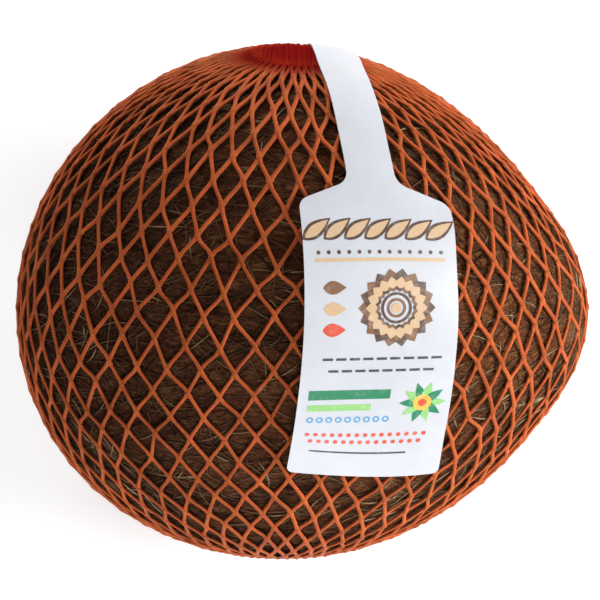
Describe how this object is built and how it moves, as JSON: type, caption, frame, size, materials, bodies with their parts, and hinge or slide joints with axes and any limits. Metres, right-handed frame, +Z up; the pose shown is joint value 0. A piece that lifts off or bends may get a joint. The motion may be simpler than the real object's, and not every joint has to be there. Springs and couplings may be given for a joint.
{
  "type": "husked coconut in a net",
  "caption": "Husked coconut lying on its side in a stretched diamond net, gathered into a clip at both ends, with a hang tag over the top.",
  "frame": {"origin": "middle of the object's bounding box, on the surface that it lies on", "axes": "+Z up, +X along the nut's long axis towards its pointed end, -Y the front, on which the tag's panel ends"},
  "size_m": [0.1403, 0.134, 0.1278],
  "materials": {
    "husk": "dry brown fibre, rough and matt, darker towards the round end",
    "net": "extruded orange-red plastic, semi-gloss and slightly translucent",
    "clip": "crimped bare metal, satin",
    "tag_film": null
  },
  "bodies": {
    "root": {"coconut": "husk", "net": "net", "clip_top": "clip", "clip_bottom": "clip", "tag": "tag_film"}
  },
  "joints": []
}
